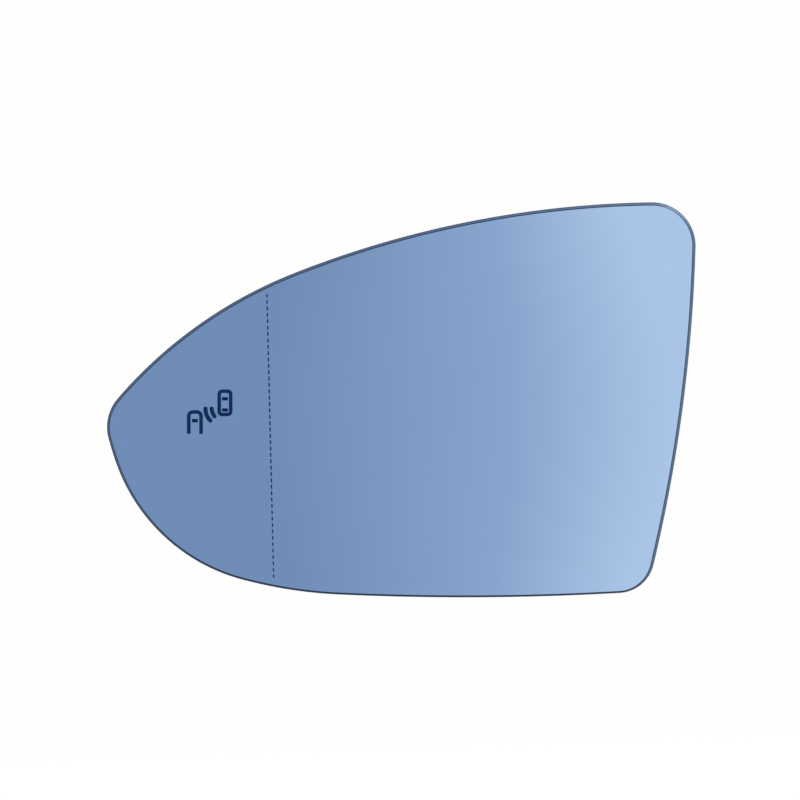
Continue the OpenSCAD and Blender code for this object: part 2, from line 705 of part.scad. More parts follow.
module indicator_leds() {
    color([0.95, 0.93, 0.80]) upright(led_z, led_z + led_h) at_symbol()
        for (k = [-1 : 1]) translate([k * led_pitch, board_h / 6]) square(led_side, center = true);
}

module indicator_resistors() {
    color([0.15, 0.15, 0.16]) upright(led_z, led_z + resistor_h) at_symbol()
        for (k = [-1, 1]) translate([k * led_pitch, -board_h / 6])
            square([resistor_l, resistor_w], center = true);
}

// Bent pins: from the board's face down behind it and out into the socket
module indicator_pins() {
    color([0.83, 0.70, 0.35]) translate([-symbol_x, -symbol_y]) {
        pin_bar(0);
        for (x = [-1, 1]) translate([x * pin_pitch / 2, pin_y])
            upright(pin_z - pin_side / 2, led_z + pin_side) square(pin_side, center = true);
    }
}

// Angle at which the round walls start, between a slit and a gusset
SEAM = 16;

// Lines of the ribs behind the skin
module rib_lines() {
    step = 360 / hooks;
    for (k = [0 : hooks - 1]) {
        rotate((k + 0.5) * step) translate([ring_r + ring_t / 2, -rib_t / 2]) square([3 * FAR, rib_t]);
        rotate(k * step) translate([round_rib_r, -rib_t / 2]) square([3 * FAR, rib_t]);
    }
    difference() {
        circle(r = round_rib_r + rib_t / 2);
        circle(r = round_rib_r - rib_t / 2);
    }
    terminal_windows(rib_t);
}

// Openings through the skin over the hooks, from which their undersides are moulded
module hook_windows() {
    half = hook_deg / 2 + 2;
    intersection() {
        rotate(SEAM) difference() {
            circle(r = ring_r + shut_off);
            circle(r = land_r - shut_off);
        }
        for (k = [0 : hooks - 1]) rotate(k * 360 / hooks)
            polygon([[0, 0], 2 * ring_r * heading(-half), 2 * ring_r * heading(half)]);
    }
}

// Ring of snap hooks with the slits that free them
module clip_ring() {
    difference() {
        upright(ring_end_z, front_z) rotate(SEAM) difference() {
            circle(r = ring_r + ring_t);
            circle(r = ring_r);
        }
        for (k = [0 : hooks - 1], s = [-1, 1])
            rotate(k * 360 / hooks + s * (hook_deg / 2 + asin((slit_w / 2 + tongue_edge) / ring_r)))
                translate([ring_r - CLEAR, -slit_w / 2, ring_end_z - CLEAR])
                    cube([ring_t + 2 * CLEAR, slit_w, front_z - rib_d - rib_h - ring_end_z]);
    }
    for (k = [0 : hooks - 1]) rotate(k * 360 / hooks - hook_deg / 2) rotate_extrude(angle = hook_deg)
        polygon([[ring_r + ring_t / 2, land_l / 2], [land_r, land_l / 2], [land_r, -land_l / 2],
            [ring_r, lead_end_z], [ring_r + ring_t / 2, lead_end_z]]);
}

module gussets() {
    root = ring_r + ring_t / 2;
    for (k = [0 : hooks - 1]) rotate((k + 0.5) * 360 / hooks) translate([0, rib_t / 2, 0]) rotate([90, 0, 0])
        linear_extrude(rib_t) polygon([[root, 0], [ring_r + ring_t, 0],
            [ring_r + ring_t + gusset_l, front_z - rib_d - rib_h], [ring_r + ring_t + gusset_l, front_z],
            [root, front_z]]);
}

// Snap arm on the right of the indicator housing, hooked under its back
module snap_arm() {
    inner = housing_w / 2 + arm_gap;
    catch = housing_back_z - arm_gap;
    nose = inner - arm_gap - arm_hook;
    end = catch - 1.4 * arm_t;
    translate([0, arm_w / 2, 0]) rotate([90, 0, 0]) linear_extrude(arm_w)
        polygon([[inner, boss_z + rib_t / 2], [inner, catch], [nose, catch], [nose, catch - arm_t / 3],
            [inner, end], [inner + arm_t, end], [inner + arm_t, boss_z + rib_t / 2]]);
}

// Moulded carrier: curved skin with a rim and ribs, clip ring, flange seat and indicator boss
module backing_plate() {
    color([0.13, 0.13, 0.14]) {
        difference() {
            union() {
                difference() {
                    pressed(skin_d, rib_d + rib_h) outline(plate_inset);
                    pressed(rib_d, rib_d + 2 * rib_h) difference() {
                        outline(plate_inset + rim_t);
                        rib_lines();
                    }
                }
                intersection() {
                    union() {
                        clip_ring();
                        gussets();
                        upright(seat_z, front_z) rotate(SEAM) difference() {
                            circle(r = seat_r + seat_w);
                            circle(r = seat_r);
                        }
                        upright(boss_z, front_z) at_symbol() square([boss_w, boss_h], center = true);
                    }
                    sheet(rib_d - skin_t / 2, FAR);
                }
            }
            translate([0, 0, -FAR]) linear_extrude(3 * FAR) {
                light_window();
                terminal_windows();
            }
            upright(seat_z + seat_h / 2, front_z) hook_windows();
        }
        translate([-symbol_x, -symbol_y]) {
            snap_arm();
            mirror([1, 0, 0]) snap_arm();
        }
    }
}

// Stands the plate up, glass towards -Y
module standing() { rotate([90, 0, 0]) children(); }

standing() mirror_glass();
standing() boundary_line();
standing() blind_spot_symbol();
standing() heater_track();
standing() heater_film();
standing() terminal_left();
standing() terminal_right();
standing() adhesive_sheet();
standing() backing_plate();
standing() indicator_diffuser();
standing() indicator_gasket();
standing() indicator_housing();
standing() indicator_board();
standing() indicator_leds();
standing() indicator_resistors();
standing() indicator_pins();
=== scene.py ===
"""Looks of a door mirror glass: silvered face, etched marks, heater layers and moulded plate."""

import json
import logging
import math
from dataclasses import dataclass
from enum import Enum, IntEnum
from typing import Any, ClassVar, NamedTuple

import bmesh
import bpy
from bmesh.types import BMEdge, BMesh, BMVert
from bpy.types import Material, Node, NodeSocket, NodeTree, Object
from mathutils import Matrix, Vector
from mathutils.geometry import intersect_point_line

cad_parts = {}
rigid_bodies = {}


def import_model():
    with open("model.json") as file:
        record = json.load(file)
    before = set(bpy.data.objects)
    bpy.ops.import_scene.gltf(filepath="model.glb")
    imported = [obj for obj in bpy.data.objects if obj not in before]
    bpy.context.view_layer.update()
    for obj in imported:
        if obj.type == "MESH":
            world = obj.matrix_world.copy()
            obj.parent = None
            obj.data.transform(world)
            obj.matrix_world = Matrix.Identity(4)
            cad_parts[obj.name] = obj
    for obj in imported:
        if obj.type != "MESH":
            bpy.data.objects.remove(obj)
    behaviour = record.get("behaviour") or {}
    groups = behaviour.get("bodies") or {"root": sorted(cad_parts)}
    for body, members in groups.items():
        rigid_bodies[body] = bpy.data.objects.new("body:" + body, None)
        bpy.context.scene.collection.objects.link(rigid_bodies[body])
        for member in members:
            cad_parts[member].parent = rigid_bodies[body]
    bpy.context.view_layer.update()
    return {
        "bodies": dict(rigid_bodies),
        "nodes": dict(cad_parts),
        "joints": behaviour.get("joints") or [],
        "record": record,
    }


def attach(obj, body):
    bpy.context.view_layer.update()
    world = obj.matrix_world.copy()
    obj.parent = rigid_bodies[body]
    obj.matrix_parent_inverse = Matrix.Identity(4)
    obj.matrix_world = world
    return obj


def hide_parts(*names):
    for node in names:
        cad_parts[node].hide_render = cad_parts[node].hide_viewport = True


LOG = logging.getLogger("mirror_glass")
MM = 0.001
BODY = "root"
WELD = 0.001  # corners this near to each other are one, in millimetres

Colour = tuple[float, float, float]
Shade = tuple[int, int, int]
Point2 = tuple[float, float]


def rgba(colour: Colour) -> tuple[float, float, float, float]:
    """Opaque colour for a node's socket."""
    return (*colour, 1.0)


def linear(value: int) -> float:
    """Scene-linear value of an 8-bit sRGB channel."""
    share = value / 255
    return share / 12.92 if share <= 0.04045 else ((share + 0.055) / 1.055) ** 2.4


@dataclass
class ShaderTree:
    """Node tree of a material or of the world.

    Attributes:
        tree: the tree.
    """

    tree: NodeTree

    def add(self, kind: str, inputs: dict[str | int, Any] | None = None, **settings: str) -> Node:
        """Adds a node.

        Args:
            kind: type of the node, without its prefix.
            inputs: for each input by name or number, its value or the socket that feeds it.
            settings: properties of the node.

        Returns:
            The node.
        """
        made = self.tree.nodes.new("ShaderNode" + kind)
        for name, value in settings.items():
            setattr(made, name, value)
        for key, value in (inputs or {}).items():
            self.feed(made.inputs[key], value)
        return made

    def feed(self, socket: NodeSocket, value: Any) -> None:
        """Feeds an input.

        Args:
            socket: the input.
            value: its value, or the socket that it is linked to.
        """
        if isinstance(value, NodeSocket):
            self.tree.links.new(value, socket)
        else:
            socket.default_value = value

    def calculate(self, operation: str, *values: Any) -> NodeSocket:
        """Adds a math node that works on sockets or numbers and returns its output."""
        return self.add("Math", dict(enumerate(values)), operation=operation).outputs[0]

    def switch(self, ray: str, otherwise: Any, shown: Any) -> NodeSocket:
        """Adds a choice between two shaders by the kind of ray.

        Args:
            ray: output of the light path that picks the second shader.
            otherwise: shader for all other rays.
            shown: shader for that kind of ray.

        Returns:
            The shader that holds the choice.
        """
        picked = self.add("LightPath").outputs[ray]
        return self.add("MixShader", {"Fac": picked, 1: otherwise, 2: shown}).outputs["Shader"]


class Grain(Enum):
    """Surface grain of a finish, with the period of its noise in millimetres."""

    SPARK = 0.45
    FINE = 0.18
    BRUSHED = 0.9
    FOAM = 0.35
    CLOUD = 30.0


@dataclass(frozen=True)
class Finish:
    """Finish of one kind of surface.

    Attributes:
        name: name of the material.
        base: main colour, 8-bit sRGB.
        shade: colour that the grain varies to.
        metallic: share of metal.
        roughness: middle roughness.
        spread: how far the grain moves the roughness either way.
        grain: kind of grain.
        stretch: how much longer the grain is along x, y and z.
        bump: height of the grain in millimetres.
        specular: specular level.
        coat: weight of a clear coat.
        scatter: weight of light that scatters inside.
    """

    name: str
    base: Shade
    shade: Shade
    metallic: float = 0.0
    roughness: float = 0.5
    spread: float = 0.06
    grain: Grain = Grain.FINE
    stretch: Colour = (1.0, 1.0, 1.0)
    bump: float = 0.01
    specular: float = 0.5
    coat: float = 0.0
    scatter: float = 0.0

    DETAIL: ClassVar[float] = 3.0
    NOISE_RANGE: ClassVar[Point2] = (0.3, 0.7)
    SCATTER_REACH: ClassVar[Colour] = (1.0, 0.9, 0.7)

    def material(self) -> Material:
        """Builds the node material once.

        Returns:
            The material.
        """
        made = bpy.data.materials.get(self.name)
        if made is not None:
            return made
        made = bpy.data.materials.new(self.name)
        made.use_nodes = True
        base, shade = (rgba(tuple(map(linear, colour))) for colour in (self.base, self.shade))
        made.diffuse_color = base
        tree = ShaderTree(made.node_tree)
        place = tree.add("TexCoord").outputs["Object"]
        periods = [1 / (self.grain.value * MM * longer) for longer in self.stretch]
        scaled = tree.add("Mapping", {"Vector": place, "Scale": periods}).outputs["Vector"]
        noise = tree.add("TexNoise", {"Vector": scaled, "Scale": 1.0, "Detail": self.DETAIL})
        grain = noise.outputs["Fac"]
        tint = tree.add("Mix", {"Factor": grain, "A": base, "B": shade}, data_type="RGBA")
        rough = tree.add("MapRange", {
            "Value": grain,
            "From Min": self.NOISE_RANGE[0],
            "From Max": self.NOISE_RANGE[1],
            "To Min": max(self.roughness - self.spread, 0.0),
            "To Max": self.roughness + self.spread,
        })
        values = {
            "Base Color": tint.outputs["Result"],
            "Roughness": rough.outputs["Result"],
            "Metallic": self.metallic,
            "Specular IOR Level": self.specular,
            "Coat Weight": self.coat,
        }
        if self.bump > 0:
            bump = tree.add("Bump", {"Distance": self.bump * MM, "Height": grain})
            values["Normal"] = bump.outputs["Normal"]
        if self.scatter > 0:
            values["Subsurface Weight"] = self.scatter
            values["Subsurface Radius"] = self.SCATTER_REACH
            values["Subsurface Scale"] = MM
        for key, value in values.items():
            tree.feed(made.node_tree.nodes["Principled BSDF"].inputs[key], value)
        return made


SILVERING = Finish("blue_silvering", (171, 198, 231), (168, 195, 229), metallic=1.0,
                   roughness=0.035, spread=0.01, grain=Grain.CLOUD, bump=0.0)
GROUND = Finish("ground_glass_edge", (104, 127, 158), (76, 99, 131), metallic=0.35,
                roughness=0.38, spread=0.08, bump=0.004)
ARRIS = Finish("glass_arris", (30, 55, 92), (22, 44, 78), metallic=0.2,
               roughness=0.3, spread=0.05, bump=0.002)
GLASS_SIDE = Finish("glass_side", (46, 66, 82), (34, 52, 66), roughness=0.25,
                    bump=0.003, coat=0.4)
BACK_PAINT = Finish("back_paint", (52, 56, 62), (44, 48, 54), grain=Grain.SPARK, bump=0.004)
ETCHED = Finish("etched_mark", (10, 53, 103), (6, 47, 94), roughness=0.6,
                spread=0.08, bump=0.003, specular=0.1)
ETCHED_BAR = Finish("etched_bar", (0, 36, 86), (0, 31, 78), roughness=0.6,
                    spread=0.08, bump=0.003, specular=0.1)
FOIL = Finish("heater_foil", (205, 207, 211), (186, 189, 194), metallic=1.0,
              roughness=0.34, grain=Grain.BRUSHED, stretch=(6.0, 1.0, 1.0), bump=0.004)
FILM = Finish("heater_film", (86, 88, 94), (70, 72, 78), roughness=0.32,
              grain=Grain.SPARK, bump=0.003, coat=0.3)
FOAM = Finish("adhesive_foam", (58, 58, 61), (34, 34, 37), roughness=0.85,
              grain=Grain.FOAM, bump=0.05, specular=0.2)
TINNED = Finish("tinned_brass", (206, 203, 190), (188, 184, 170), metallic=1.0,
                roughness=0.3, grain=Grain.BRUSHED, stretch=(1.0, 8.0, 1.0), bump=0.005)
PLATE = Finish("moulded_plate", (42, 42, 44), (31, 31, 33), roughness=0.52,
               spread=0.08, grain=Grain.SPARK, bump=0.03, specular=0.4)
PIN_MARK = Finish("ejector_pin_mark", (46, 46, 48), (38, 38, 40), roughness=0.3,
                  spread=0.05, bump=0.004)
HOUSING = Finish("moulded_housing", (36, 36, 38), (26, 26, 28), roughness=0.42,
                 bump=0.012, specular=0.45)
MILKY = Finish("milky_diffuser", (240, 233, 214), (228, 220, 200), roughness=0.3,
               spread=0.04, bump=0.003, scatter=0.3)
GASKET = Finish("foam_gasket", (44, 44, 46), (26, 26, 28), roughness=0.9,
                grain=Grain.FOAM, bump=0.05, specular=0.15)
BOARD = Finish("lacquered_board", (34, 98, 62), (26, 82, 50), roughness=0.3,
               grain=Grain.BRUSHED, bump=0.006, coat=0.5)
LAMP = Finish("diode_body", (240, 234, 196), (230, 222, 180), roughness=0.25,
              bump=0.002, scatter=0.2)
CERAMIC = Finish("resistor_body", (38, 38, 42), (28, 28, 32), roughness=0.35,
                 bump=0.004, coat=0.3)
GOLD = Finish("plated_pin", (214, 182, 104), (198, 166, 88), metallic=1.0,
              roughness=0.24, grain=Grain.BRUSHED, stretch=(1.0, 8.0, 1.0), bump=0.003)


def heading(angle: float) -> Vector:
    """Direction of unit length at an angle, in radians."""
    return Vector((math.cos(angle), math.sin(angle)))


def leftward(way: Vector) -> Vector:
    """A direction turned a quarter to its left."""
    return Vector((-way.y, way.x))


def bow_centre(a: Vector, b: Vector, radius: float) -> Vector:
    """Centre of an arc that runs anticlockwise from one point to another.

    Args:
        a: first point.
        b: last point.
        radius: radius of the arc.

    Returns:
        The centre, on the left of the way from a to b.
    """
    way = b - a
    rise = math.sqrt(radius**2 - (way.length / 2) ** 2)
    return (a + b) / 2 + leftward(way).normalized() * rise


def crossing(c1: Vector, r1: float, c2: Vector, r2: float, goal: Vector) -> Vector:
    """Crossing of two circles that lies nearer to a point.

    Args:
        c1: centre of the first circle.
        r1: its radius.
        c2: centre of the second circle.
        r2: its radius.
        goal: point that picks between the two crossings.

    Returns:
        The nearer crossing.
    """
    way = c2 - c1
    span = way.length
    along = (span**2 + r1**2 - r2**2) / (2 * span)
    unit = way / span
    side = leftward(unit) * math.sqrt(max(0.0, r1**2 - along**2))
    middle = c1 + unit * along
    return min((middle + side, middle - side), key=lambda p: (p - goal).length)


@dataclass(frozen=True)
class Widths:
    """Width of a strip along the outline, by the way that the outline faces, in millimetres.

    Attributes:
        right: width where it faces right.
        top: width where it faces up.
        left: width where it faces left.
        bottom: width where it faces down.
    """

    right: float
    top: float
    left: float
    bottom: float

    @classmethod
    def even(cls, width: float) -> "Widths":
        """The same width all round."""
        return cls(width, width, width, width)

    def facing(self, outward: Vector) -> float:
        """Blends the widths by the way that the outline faces.

        Args:
            outward: that way, of unit length.

        Returns:
            The width there.
        """
        across = self.right if outward.x > 0 else self.left
        up = self.top if outward.y > 0 else self.bottom
        return across * outward.x**2 + up * outward.y**2


@dataclass(frozen=True)
class Arc:
    """Arc of the outline, anticlockwise about its centre, in millimetres.

    Attributes:
        centre: its centre.
        radius: its radius.
        first: angle of the first point, in radians.
        sweep: angle that the arc turns through.
    """

    centre: Vector
    radius: float
    first: float
    sweep: float

    @classmethod
    def between(cls, centre: Vector, radius: float, a: Vector, b: Vector) -> "Arc":
        """Makes the arc about a centre from one point to another.

        Args:
            centre: the centre.
            radius: the radius.
            a: first point.
            b: last point.

        Returns:
            The arc.
        """
        first = math.atan2(a.y - centre.y, a.x - centre.x)
        last = math.atan2(b.y - centre.y, b.x - centre.x)
        return cls(centre, radius, first, (last - first) % (2 * math.pi))

    def point(self, share: float, inset: Widths) -> Vector:
        """Point at a share of the arc, drawn in towards the centre."""
        outward = heading(self.first + self.sweep * share)
        return self.centre + outward * (self.radius - inset.facing(outward))


class Corner(NamedTuple):
    """Corner of the outline: its place, its fillet and the radius of the side that follows."""

    x: float
    y: float
    fillet: float
    bow: float


@dataclass
class Outline:
    """Outline of the glass, seen from the front, in millimetres.

    Attributes:
        corners: corners anticlockwise from the top right.
        step: longest stretch between two points of it.
        turn: largest turn between two points of it, in degrees.
    """

    corners: tuple[Corner, ...] = (
        Corner(79.6, 62.2, 13.0, 305.0),
        Corner(-40.8, 41.0, 0.0, 136.0),
        Corner(-98.0, -1.8, 13.0, 111.0),
        Corner(-80.4, -42.5, 55.0, 177.0),
        Corner(-35.6, -54.6, 133.0, 840.0),
        Corner(64.8, -54.1, 11.0, 472.0),
    )
    step: float = 1.6
    turn: float = 3.0

    def arcs(self) -> list[Arc]:
        """Works out the outline.

        Returns:
            Arcs of the corners and the sides in turn.
        """
        points = [Vector((corner.x, corner.y)) for corner in self.corners]
        centres = [bow_centre(a, b, corner.bow)
                   for a, b, corner in zip(points, points[1:] + points[:1], self.corners)]
        for i, corner in enumerate(self.corners):
            if corner.fillet == 0:
                # The sides meet without a bend here, so their centres are in line with the corner
                ratio = corner.bow / self.corners[i - 1].bow
                centres[i] = points[i] + (centres[i - 1] - points[i]) * ratio
        bows = [(centre, corner.bow) for centre, corner in zip(centres, self.corners)]

        fillets = [crossing(c1, r1 - corner.fillet, c2, r2 - corner.fillet, point)
                   for (c1, r1), (c2, r2), corner, point
                   in zip(bows[-1:] + bows[:-1], bows, self.corners, points)]

        def touch(bow: tuple[Vector, float], fillet: Vector) -> Vector:
            """Point where a fillet meets a bow."""
            return bow[0] + (fillet - bow[0]).normalized() * bow[1]

        found = []
        for i, corner in enumerate(self.corners):
            start = touch(bows[i], fillets[i])
            if corner.fillet > 0:
                before = touch(bows[i - 1], fillets[i])
                found.append(Arc.between(fillets[i], corner.fillet, before, start))
            end = touch(bows[i], fillets[(i + 1) % len(fillets)])
            found.append(Arc.between(*bows[i], start, end))
        return found

    def points(self, inset: Widths) -> list[Vector]:
        """Walks round the outline.

        Args:
            inset: distance inside the outline.

        Returns:
            Points there, anticlockwise, as many at every inset.
        """
        found = []
        for arc in self.arcs():
            steps = max(math.ceil(math.degrees(arc.sweep) / self.turn),
                        math.ceil(arc.radius * arc.sweep / self.step))
            found += [arc.point(k / steps, inset) for k in range(steps)]
        return found


@dataclass
class CurvedFace:
    """Front face of the glass: a convex main field and two faster ones, in millimetres.

    Attributes:
        front: height of the face over the clip axis.
        radii: radii of the fields from the main one outwards.
        starts: distances from the clip axis at which the outer fields start.
        lean: lean of the fields' borders, in degrees.
    """

    front: float = 14.15
    radii: tuple[float, float, float] = (1260.0, 700.0, 380.0)
    starts: Point2 = (48.42 * math.cos(math.radians(1.36)), 76.0)
    lean: float = 1.36

    def fields(self) -> list[tuple[float, float, float]]:
        """Works out the fields, each of which starts in line with the one before.

        Returns:
            Height and place of the centre, and radius of each.
        """
        found = [(0.0, 0.0, self.radii[0])]
        for start, radius in zip(self.starts, self.radii[1:]):
            height, along, last = found[-1]
            angle = math.asin((-start - along) / last)
            found.append((height + last * math.cos(angle) - radius * math.cos(angle),
                          along + last * math.sin(angle) - radius * math.sin(angle), radius))
        return found

    def height(self, x: float, y: float) -> float:
        """Works out the height of the face over the hooks' land.

        Args:
            x: place across.
            y: place up.

        Returns:
            The height.
        """
        lean = math.radians(self.lean)
        across = x * math.cos(lean) + y * math.sin(lean)
        up = y * math.cos(lean) - x * math.sin(lean)
        index = sum(across < -start for start in self.starts)
        base, along, radius = self.fields()[index]
        reach = base + math.sqrt(radius**2 - (across - along) ** 2)
        return self.front - self.radii[0] + math.sqrt(reach**2 - up**2)


OUTLINE = Outline()
FACE = CurvedFace()


def encloses(edge: list[Vector], place: Vector) -> bool:
    """Whether an outline, anticlockwise and nowhere hollow, encloses a place."""
    return all((b - a).cross(place - a) > 0 for a, b in zip(edge, edge[1:] + edge[:1]))


def ease(work: BMesh, edges: list[BMEdge], width: float) -> list[BMVert]:
    """Rounds edges over a width and returns the new corners."""
    return bmesh.ops.bevel(work, geom=edges, offset=width, affect="EDGES", segments=2,
                           profile=0.5, material=-1)["verts"]


def finished(name: str, work: BMesh, materials: list[Material]) -> Object:
    """Turns a bmesh in metres into an object at the origin.

    Args:
        name: name of the object.
        work: bmesh, freed here.
        materials: material of each index.

    Returns:
        The object.
    """
    mesh = bpy.data.meshes.new(name)
    work.to_mesh(mesh)
    work.free()
    for material in materials:
        mesh.materials.append(material)
    made = bpy.data.objects.new(name, mesh)
    bpy.context.scene.collection.objects.link(made)
    return made


def upright(name: str, work: BMesh, finishes: list[Finish]) -> Object:
    """Turns a bmesh drawn as the plate is, x right, y up and z to the viewer, into a piece.

    Args:
        name: name of the piece.
        work: bmesh in millimetres, freed here.
        finishes: finish of each material index.

    Returns:
        The piece, at the origin, in metres, glass towards -Y.
    """
    bmesh.ops.scale(work, vec=(MM, MM, MM), verts=work.verts)
    bmesh.ops.rotate(work, cent=(0, 0, 0), matrix=Matrix.Rotation(math.pi / 2, 3, "X"),
                     verts=work.verts)
    return finished(name, work, [finish.material() for finish in finishes])


class Surface(IntEnum):
    """Surfaces of the glass, numbered as its finishes are."""

    FACE = 0
    GROUND = 1
    LINE = 2
    SIDE = 3
    BACK = 4


@dataclass
class MirrorGlass:
    """Silvered glass with its ground edge, in millimetres.

    Attributes:
        thickness: thickness of the glass.
        ground: width of the ground front edge; narrower at the bottom, where the dark line fills
            most of it as painted shade.
        inner: distance from the outline to where the dark line along the face ends.
        rim: width of the dark line along the outer corner.
        depths: depths at which the inner line, the ground strip and the outer line end.
        arris: arris off the rear edge.
        pitch: spacing of the grid that carries the curve.
        reach: how far the grid goes from the clip axis, across and up.
    """

    thickness: float = 2.0
    # At the bottom the light ground strip is narrowed so that the dark line fills most of the
    # edge: painted shade of the edge that faces down.
    ground: Widths = Widths(1.0, 1.0, 0.88, 0.6)
    inner: Widths = Widths(0.74, 0.7, 0.78, 0.3)
    rim: Widths = Widths(0.14, 0.2, 0.24, 0.14)
    depths: tuple[float, float, float] = (0.15, 0.41, 0.58)
    arris: float = 0.3
    pitch: float = 4.0
    reach: Point2 = (100.0, 66.0)

    CUT: ClassVar[float] = 1e-5
    STRIPS: ClassVar[tuple[Surface, ...]] = (Surface.LINE, Surface.GROUND, Surface.LINE,
                                             Surface.SIDE, Surface.SIDE)
    FINISHES: ClassVar[list[Finish]] = [SILVERING, GROUND, ARRIS, GLASS_SIDE, BACK_PAINT]

    def flat_glass(self, work: BMesh) -> None:
        """Draws the glass flat: the face, the strips round its edge and the back.

        Args:
            work: bmesh to draw in.
        """
        flush = Widths.even(0.0)
        loops = [(self.ground, 0.0), (self.inner, self.depths[0]), (self.rim, self.depths[1]),
                 (flush, self.depths[2]), (flush, self.thickness - self.arris),
                 (Widths.even(self.arris), self.thickness)]
        rings = [[work.verts.new((p.x, p.y, -depth)) for p in OUTLINE.points(inset)]
                 for inset, depth in loops]
        work.faces.new(rings[0]).material_index = Surface.FACE
        edges = [[work.edges.get(pair) or work.edges.new(pair)
                  for pair in zip(ring, ring[1:] + ring[:1])] for ring in rings]
        for near, far, surface in zip(edges, edges[1:], self.STRIPS):
            for strip in bmesh.ops.bridge_loops(work, edges=near + far)["faces"]:
                strip.material_index = surface
        work.faces.new(rings[-1][::-1]).material_index = Surface.BACK

    def curve(self, work: BMesh) -> None:
        """Cuts the flat glass along a grid and lays it on the curve of the face.

        Args:
            work: bmesh that holds the glass.
        """
        for normal, reach in zip((Vector((1, 0, 0)), Vector((0, 1, 0))), self.reach):
            for k in range(int(2 * reach / self.pitch) + 1):
                bmesh.ops.bisect_plane(work, geom=work.verts[:] + work.edges[:] + work.faces[:],
                                       dist=self.CUT, plane_co=normal * (k * self.pitch - reach),
                                       plane_no=normal)
        for vert in work.verts:
            vert.co.z += FACE.height(vert.co.x, vert.co.y)

    def build(self) -> Object:
        """Builds the glass as one closed piece in place of the node.

        Returns:
            The piece.
        """
        work = bmesh.new()
        self.flat_glass(work)
        self.curve(work)
        bmesh.ops.recalc_face_normals(work, faces=work.faces)
        for face in work.faces:
            face.smooth = True
        for edge in work.edges:
            edge.smooth = len({face.material_index for face in edge.link_faces}) == 1
        made = upright("mirror_face", work, self.FINISHES)
        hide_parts("mirror_glass")
        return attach(made, BODY)


@dataclass
class BoundaryLine:
    """Dashed border of the outer field, in millimetres.

    Attributes:
        x: distance of the line from the clip axis, to the left.
        lean: lean of the line, in degrees.
        length: length of a dash.
        pitch: pitch of the dashes.
        width: width of a dash.
        corner: width of the easing of a dash's corners.
        margin: clear glass between the last dash and the outline.
        proud: how far a dash stands out of the face.
        depth: how far it goes into the glass.
    """

    x: float = 48.0
    lean: float = 1.36
    length: float = 1.25
    pitch: float = 1.9
    width: float = 0.42
    corner: float = 0.1
    margin: float = 1.2
    proud: float = 0.012
    depth: float = 0.1

    def dash(self, work: BMesh, middle: Vector) -> None:
        """Adds one dash.

        Args:
            work: bmesh to draw in.
            middle: place of its middle.
        """
        made = bmesh.ops.create_cube(work, size=1.0)["verts"]
        bmesh.ops.scale(work, vec=(self.width, self.length, self.proud + self.depth), verts=made)
        sides = dict.fromkeys(e for v in made for e in v.link_edges
                              if abs(e.verts[0].co.z - e.verts[1].co.z) > self.proud)
        made += ease(work, list(sides), self.corner)
        block = list(dict.fromkeys(v for v in made if v.is_valid))
        turned = Matrix.Rotation(math.radians(self.lean), 3, "Z")
        bmesh.ops.rotate(work, cent=(0, 0, 0), matrix=turned, verts=block)
        height = FACE.height(middle.x, middle.y) + (self.proud - self.depth) / 2
        bmesh.ops.translate(work, vec=(middle.x, middle.y, height), verts=block)

    def build(self) -> Object:
        """Builds every dash as a thin block with eased corners in place of the node.

        Returns:
            The piece.
        """
        work = bmesh.new()
        along = leftward(heading(math.radians(self.lean)))
        edge = OUTLINE.points(Widths.even(self.margin))
        reach = math.ceil(max(corner.y for corner in OUTLINE.corners) / self.pitch)
        for k in range(-reach, reach + 1):
            middle = Vector((-self.x, 0.0)) + along * k * self.pitch
            half = along * self.length / 2
            if encloses(edge, middle + half) and encloses(edge, middle - half):
                self.dash(work, middle)
        made = upright("boundary_dashes", work, [ETCHED])
        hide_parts("boundary_line")
        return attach(made, BODY)


